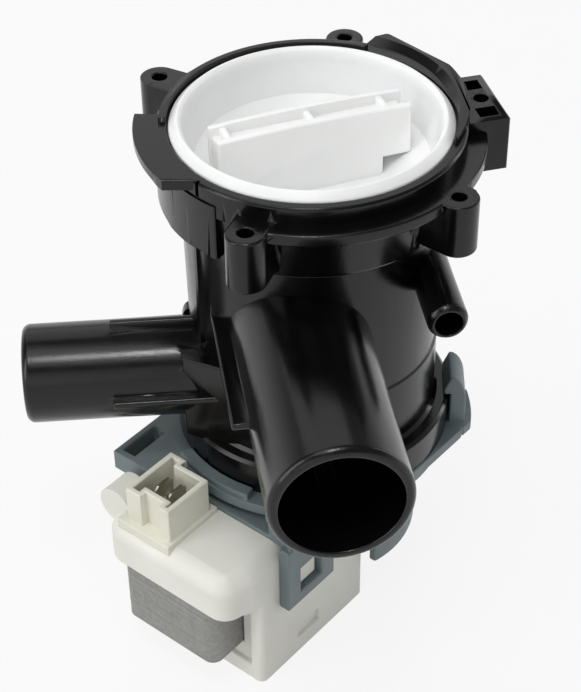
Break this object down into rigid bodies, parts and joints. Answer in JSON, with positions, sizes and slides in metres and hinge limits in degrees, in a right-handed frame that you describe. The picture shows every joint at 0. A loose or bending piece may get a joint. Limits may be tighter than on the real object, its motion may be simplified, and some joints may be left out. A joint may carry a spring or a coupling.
{
  "type": "washer drain pump",
  "caption": "Washing-machine drain pump: black filter-trap housing with inlet, outlet and vent pipes, white screw-in filter cap and a synchronous motor on a hooked plate.",
  "frame": {"origin": "on the pump axis at the end face of the motor, the face that the pump stands on", "axes": "+Z along the pump axis from the motor to the filter cap, -Y along the water inlet, the drain outlet near -X"},
  "size_m": [0.1179, 0.125, 0.1365],
  "materials": {
    "housing_black": "satin moulded black plastic",
    "cap_white": "smooth white moulded plastic",
    "plate_grey": "satin moulded blue-grey plastic",
    "cover_white": "satin moulded white plastic",
    "connector_cream": "satin moulded cream plastic",
    "inner_white": "moulded white plastic",
    "cutout_black": "moulded black plastic",
    "rubber_black": "matt black rubber",
    "bush_bronze": "sintered bronze",
    "shaft_steel": "ground steel",
    "core_steel": "stamped steel laminations",
    "magnet_dark": "sintered ferrite",
    "winding_copper": "enamelled copper wire",
    "blade_tin": "tinned brass"
  },
  "bodies": {
    "pump": {"trap_housing": "housing_black", "trap_neck": "housing_black", "housing_gasket": "rubber_black", "bayonet_plate": "plate_grey", "bearing_carrier": "plate_grey", "front_bearing": "bush_bronze", "shaft_seal": "rubber_black", "rear_bearing": "bush_bronze", "rear_grommet": "rubber_black", "stator_core": "core_steel", "coil_bobbin_a": "inner_white", "coil_bobbin_b": "inner_white", "coil_winding_a": "winding_copper", "coil_winding_b": "winding_copper", "thermal_cutout": "cutout_black", "motor_cover": "cover_white", "connector_shell": "connector_cream", "terminal_blades": "blade_tin"},
    "filter_ring": {"filter_seal": "rubber_black"},
    "filter_insert": {"filter_cap": "cap_white", "lint_strainer": "cap_white"},
    "rotor": {"rotor_shaft": "shaft_steel", "magnet_hub": "inner_white", "rotor_magnet": "magnet_dark", "thrust_washer": "inner_white", "drive_dog": "inner_white", "impeller_clip": "shaft_steel"},
    "impeller": {"impeller": "inner_white"}
  },
  "joints": [
    {"name": "filter_lift", "type": "slide", "parent": "pump", "child": "filter_ring", "axis": [0, 0, 1], "range_m": [0, 0.018]},
    {"name": "filter_turn", "type": "hinge", "parent": "filter_ring", "child": "filter_insert", "pos_m": [0, 0, 0.122], "axis": [0, 0, 1], "range_deg": [0, 540]},
    {"name": "rotor_spin", "type": "hinge", "parent": "pump", "child": "rotor", "pos_m": [0, 0, 0.02], "axis": [0, 0, 1], "continuous": true},
    {"name": "impeller_play", "type": "hinge", "parent": "rotor", "child": "impeller", "pos_m": [0, 0, 0.06], "axis": [0, 0, 1], "range_deg": [-146, 146]}
  ],
  "couplings": [
    {"joint": "filter_lift", "follows": "filter_turn", "m_per_rad": 0.0019099}
  ]
}
